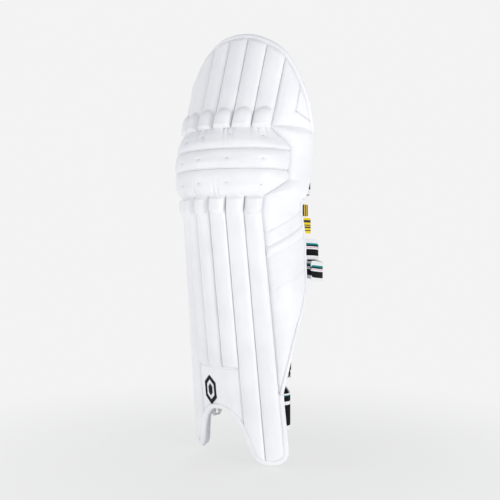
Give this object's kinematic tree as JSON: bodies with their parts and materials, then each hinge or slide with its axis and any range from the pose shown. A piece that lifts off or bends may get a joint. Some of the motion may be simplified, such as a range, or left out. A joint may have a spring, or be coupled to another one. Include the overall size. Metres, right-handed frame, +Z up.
{
  "type": "cricket leg pad",
  "caption": "Right-leg batting pad: padded front channels, rolls over the knee, curved wings, soft lining, and three webbing straps that fold through rings behind the leg.",
  "frame": {"origin": "on the leg's axis, level with the bottom of the two ankle lobes", "axes": "+Z up the leg, -Y towards the front that faces the ball, +X towards the outer side of a right leg"},
  "size_m": [0.2673, 0.2735, 0.7675],
  "materials": {
    "face_leather": "smooth white coated leather with a fine grain",
    "binding_tape": "folded white tape, sewn",
    "lining_cloth": "cool grey knitted lining",
    "cushion_cloth": "pale padded cloth",
    "core_foam": "closed-cell foam sheet",
    "cane": "split cane",
    "webbing": "flat woven webbing, white with coloured stripes",
    "hook_tape": "hook tape",
    "loop_tape": "brushed loop tape",
    "ring_plastic": "moulded white ring",
    "tab_cloth": "metallic woven tab",
    "tag_card": "coated card"
  },
  "bodies": {
    "pad": {"ankle_strap": "webbing", "bottom_binding": "binding_tape", "calf_strap": "webbing", "edge_tab": "tab_cloth", "instep_cushion": "cushion_cloth", "instep_panel": "face_leather", "knee_cushion_inner": "cushion_cloth", "knee_cushion_middle": "cushion_cloth", "knee_cushion_outer": "cushion_cloth", "knee_foam_core": "core_foam", "knee_roll_lower": "face_leather", "knee_roll_middle": "face_leather", "knee_roll_upper": "face_leather", "knee_strap": "webbing", "knee_wing_inner": "face_leather", "knee_wing_outer": "face_leather", "lining": "lining_cloth", "loop_patches": "loop_tape", "ring_tabs": "webbing", "shin_bolster_inner": "cushion_cloth", "shin_bolster_outer": "cushion_cloth", "shin_canes": "cane", "shin_channel_1": "face_leather", "shin_channel_2": "face_leather", "shin_channel_3": "face_leather", "shin_channel_4": "face_leather", "shin_channel_5": "face_leather", "shin_channel_6": "face_leather", "shin_channel_7": "face_leather", "shin_channel_caps": "face_leather", "shin_foam_core": "core_foam", "side_wing_inner": "face_leather", "side_wing_outer": "face_leather", "top_binding": "binding_tape", "top_channel_1": "face_leather", "top_channel_2": "face_leather", "top_channel_3": "face_leather", "top_channel_4": "face_leather", "top_channel_5": "face_leather", "top_channel_6": "face_leather", "top_channel_7": "face_leather", "top_channel_caps": "face_leather", "top_foam_core": "core_foam", "top_wing_inner": "face_leather", "top_wing_outer": "face_leather"},
    "knee_ring_body": {"knee_ring": "ring_plastic"},
    "knee_strap_loose": {"knee_strap_end": "webbing", "knee_hook_patch": "hook_tape"},
    "calf_ring_body": {"calf_ring": "ring_plastic"},
    "calf_strap_loose": {"calf_strap_end": "webbing", "calf_hook_patch": "hook_tape"},
    "ankle_ring_body": {"ankle_ring": "ring_plastic"},
    "ankle_strap_loose": {"ankle_strap_end": "webbing", "ankle_hook_patch": "hook_tape"},
    "hang_tag": {"hang_tag": "tag_card"}
  },
  "joints": [
    {"name": "knee_ring_swivel", "type": "hinge", "parent": "pad", "child": "knee_ring_body", "pos_m": [-0.097, 0.012, 0.511], "axis": [0, 0, 1], "range_deg": [0, 8]},
    {"name": "knee_strap_peel", "type": "hinge", "parent": "knee_ring_body", "child": "knee_strap_loose", "pos_m": [-0.097, 0.028, 0.511], "axis": [0, 0, 1], "range_deg": [0, 105]},
    {"name": "calf_ring_swivel", "type": "hinge", "parent": "pad", "child": "calf_ring_body", "pos_m": [-0.101, 0.01, 0.362], "axis": [0, 0, 1], "range_deg": [0, 8]},
    {"name": "calf_strap_peel", "type": "hinge", "parent": "calf_ring_body", "child": "calf_strap_loose", "pos_m": [-0.101, 0.026, 0.362], "axis": [0, 0, 1], "range_deg": [0, 105]},
    {"name": "ankle_ring_swivel", "type": "hinge", "parent": "pad", "child": "ankle_ring_body", "pos_m": [-0.103, 0.006, 0.092], "axis": [0, 0, 1], "range_deg": [0, 8]},
    {"name": "ankle_strap_peel", "type": "hinge", "parent": "ankle_ring_body", "child": "ankle_strap_loose", "pos_m": [-0.103, 0.022, 0.092], "axis": [0, 0, 1], "range_deg": [0, 105]},
    {"name": "tag_swing", "type": "hinge", "parent": "pad", "child": "hang_tag", "pos_m": [0.104, 0.029, 0.442], "axis": [0, 1, 0], "range_deg": [-25, 25]}
  ]
}
